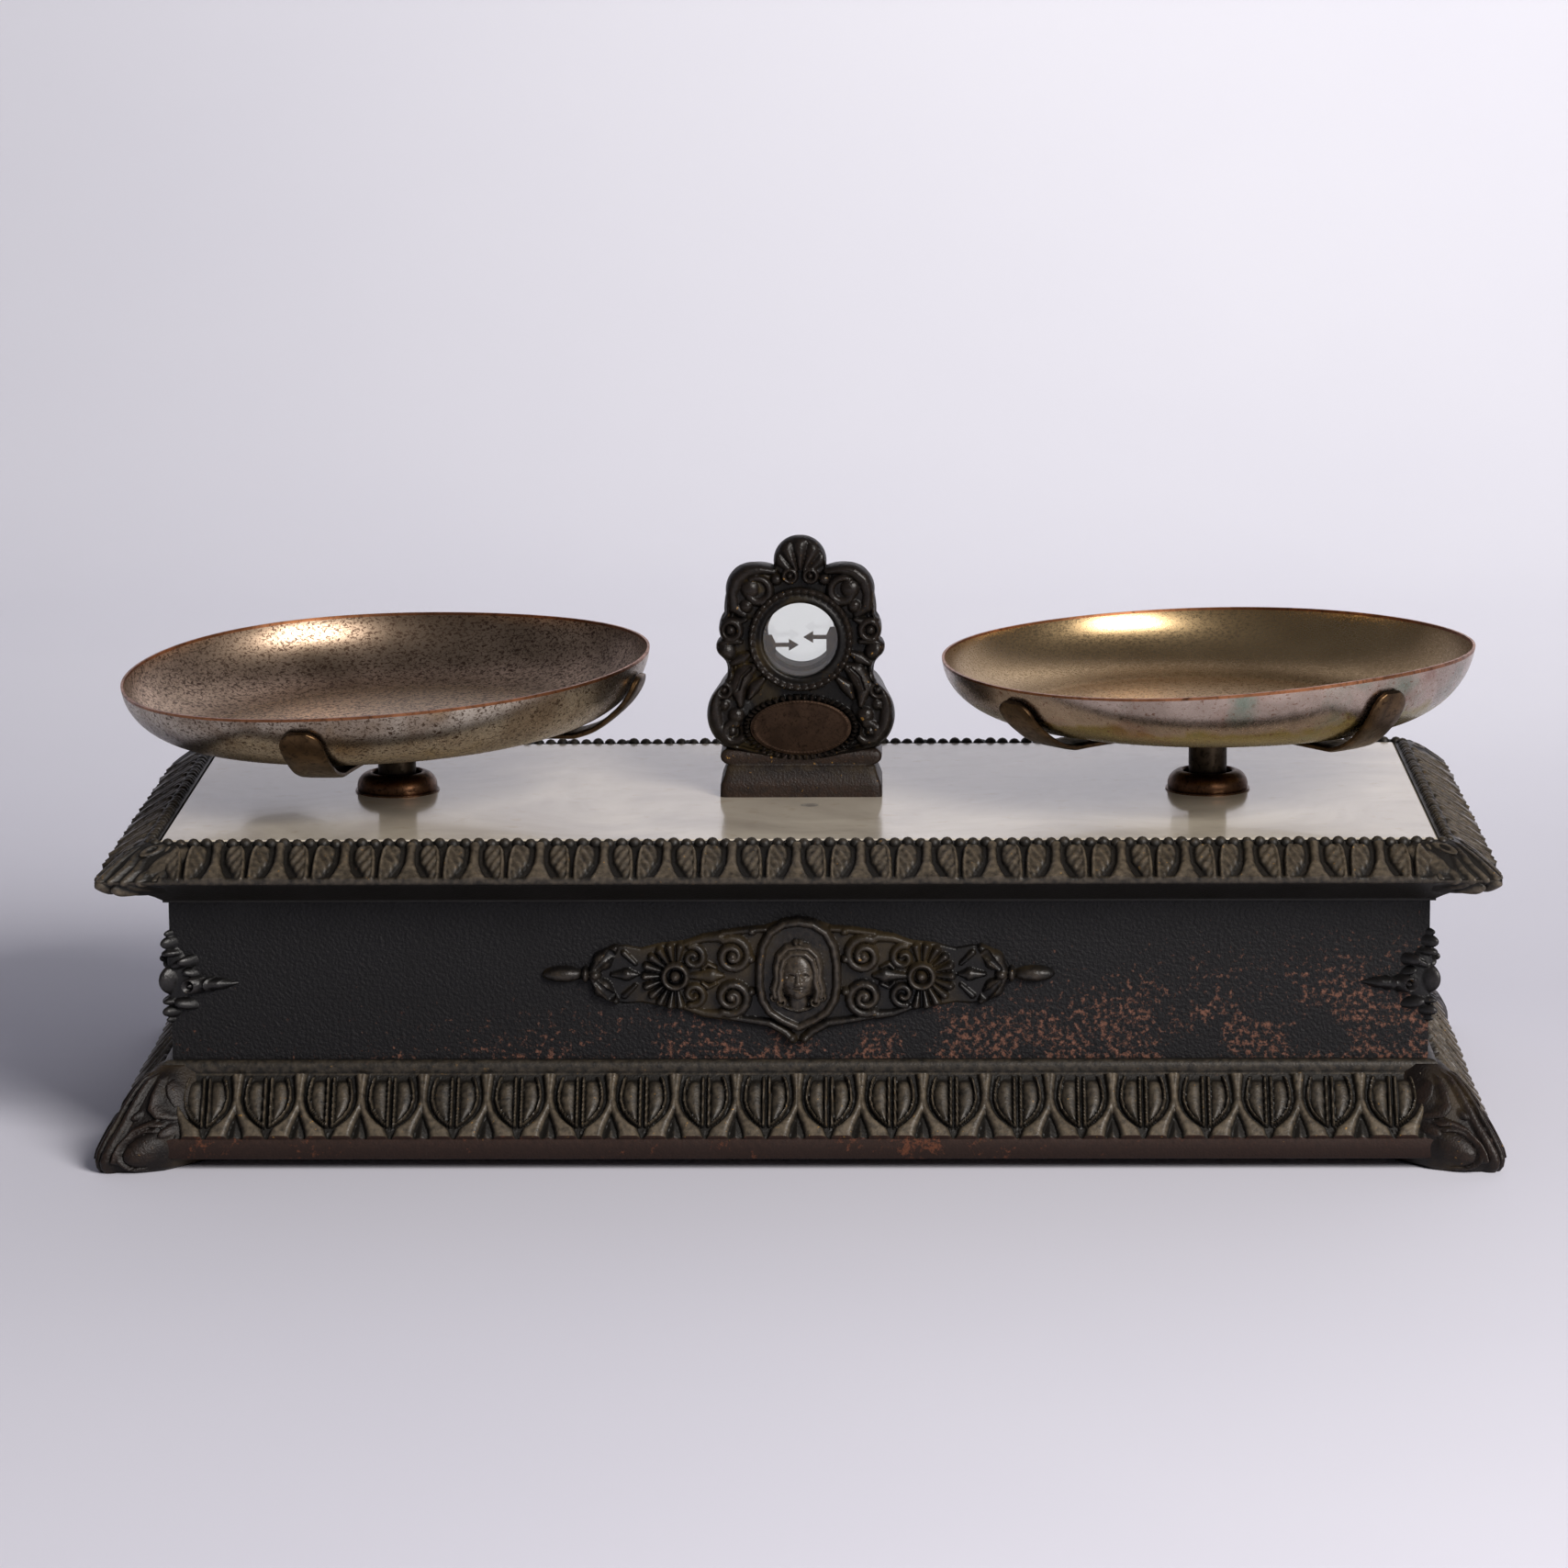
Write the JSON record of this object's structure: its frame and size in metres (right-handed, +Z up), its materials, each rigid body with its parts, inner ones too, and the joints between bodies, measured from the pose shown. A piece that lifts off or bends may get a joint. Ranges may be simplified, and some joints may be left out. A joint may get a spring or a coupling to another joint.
{
  "type": "counter scale",
  "caption": "Equal-arm counter scale: ornamented black cast-iron case with closed lever train, marble top, window tower with facing pointers and lift-off brass pans on spiders.",
  "frame": {"origin": "on the counter under the middle of the case", "axes": "+X along the front to the right pan, +Y from the front to the back, +Z up"},
  "size_m": [0.539, 0.251, 0.2279],
  "materials": {
    "iron": "black-bronzed casting, worn brown on the relief, rust specks",
    "tower_iron": "black-bronzed casting with ochre dust in the recesses",
    "sheet_iron": "black painted sheet iron",
    "steel": "plain steel fixings",
    "marble": "polished white marble with soft grey stains",
    "plug": "dark round plug",
    "collar_bronze": "turned and darkened bronze",
    "glass": "clear flat pane",
    "plaque": "dark brown plain plate",
    "mechanism_iron": "plain casting",
    "knife_steel": "hardened and ground steel",
    "stem_steel": "dull grey turned steel",
    "spider_brass": "dark aged brass strip",
    "pan_brass": "tarnished brass inside, worn tinning outside",
    "pointer_brass": "cut brass strip"
  },
  "bodies": {
    "root": {"base_plinth": "iron", "base_plate": "sheet_iron", "base_plate_screws": "steel", "case_walls": "iron", "cornice_frame": "iron", "case_bolts": "steel", "marble_top": "marble", "marble_plug": "plug", "stem_collar_left": "collar_bronze", "stem_collar_right": "collar_bronze", "tower_casting": "tower_iron", "tower_screws": "steel", "window_bezel_front": "tower_iron", "window_bezel_back": "tower_iron", "window_glass_front": "glass", "window_glass_back": "glass", "oval_plaque": "plaque", "front_cartouche": "iron", "corner_ornament_front_left": "iron", "corner_ornament_front_right": "iron", "corner_ornament_rear_left": "iron", "corner_ornament_rear_right": "iron", "fulcrum_stand": "mechanism_iron", "fulcrum_bearings": "knife_steel", "sublever_stand_left": "mechanism_iron", "sublever_stand_right": "mechanism_iron", "stand_screws": "steel", "travel_stops": "mechanism_iron"},
    "beam": {"main_beam": "mechanism_iron", "beam_fulcrum_knife": "knife_steel", "beam_end_knives": "knife_steel", "beam_link_knives": "knife_steel"},
    "carrier_left": {"carrier_left": "mechanism_iron", "carrier_bearings_left": "knife_steel", "pan_stem_left": "stem_steel", "stem_nut_left": "steel", "pan_spider_left": "spider_brass", "pointer_left": "pointer_brass", "pointer_rivets_left": "pointer_brass"},
    "sublever_left": {"sublever_left": "mechanism_iron", "sublever_knives_left": "knife_steel"},
    "link_left": {"link_left": "mechanism_iron"},
    "pan_left": {"pan_left": "pan_brass"},
    "carrier_right": {"carrier_right": "mechanism_iron", "carrier_bearings_right": "knife_steel", "pan_stem_right": "stem_steel", "stem_nut_right": "steel", "pan_spider_right": "spider_brass", "pointer_right": "pointer_brass", "pointer_rivets_right": "pointer_brass"},
    "sublever_right": {"sublever_right": "mechanism_iron", "sublever_knives_right": "knife_steel"},
    "link_right": {"link_right": "mechanism_iron"},
    "pan_right": {"pan_right": "pan_brass"}
  },
  "joints": [
    {"name": "beam_tilt", "type": "hinge", "parent": "root", "child": "beam", "pos_m": [0, 0, 0.064], "axis": [0, 1, 0], "range_deg": [-1.19, 2.01]},
    {"name": "carrier_left_swing", "type": "hinge", "parent": "beam", "child": "carrier_left", "pos_m": [-0.21499, 0, 0.06245], "axis": [0, 1, 0], "range_deg": [-2.2, 1.4]},
    {"name": "sublever_left_tilt", "type": "hinge", "parent": "root", "child": "sublever_left", "pos_m": [-0.205, 0, 0.03], "axis": [0, 1, 0], "range_deg": [-4.6, 2.8]},
    {"name": "link_left_swing", "type": "hinge", "parent": "beam", "child": "link_left", "pos_m": [-0.13992, 0, 0.06299], "axis": [0, 1, 0], "range_deg": [-2.2, 1.4]},
    {"name": "pan_left_lift", "type": "slide", "parent": "carrier_left", "child": "pan_left", "axis": [0, 0, 1], "range_m": [0, 0.08]},
    {"name": "carrier_right_swing", "type": "hinge", "parent": "beam", "child": "carrier_right", "pos_m": [0.21499, 0, 0.06555], "axis": [0, 1, 0], "range_deg": [-2.2, 1.4]},
    {"name": "sublever_right_tilt", "type": "hinge", "parent": "root", "child": "sublever_right", "pos_m": [0.205, 0, 0.03], "axis": [0, 1, 0], "range_deg": [-4.6, 2.8]},
    {"name": "link_right_swing", "type": "hinge", "parent": "beam", "child": "link_right", "pos_m": [0.13992, 0, 0.06501], "axis": [0, 1, 0], "range_deg": [-2.2, 1.4]},
    {"name": "pan_right_lift", "type": "slide", "parent": "carrier_right", "child": "pan_right", "axis": [0, 0, 1], "range_m": [0, 0.08]}
  ],
  "couplings": [
    {"joint": "carrier_left_swing", "follows": "beam_tilt", "ratio": -1},
    {"joint": "sublever_left_tilt", "follows": "beam_tilt", "ratio": -2.15},
    {"joint": "link_left_swing", "follows": "beam_tilt", "ratio": -1},
    {"joint": "carrier_right_swing", "follows": "beam_tilt", "ratio": -1},
    {"joint": "sublever_right_tilt", "follows": "beam_tilt", "ratio": -2.15},
    {"joint": "link_right_swing", "follows": "beam_tilt", "ratio": -1}
  ]
}
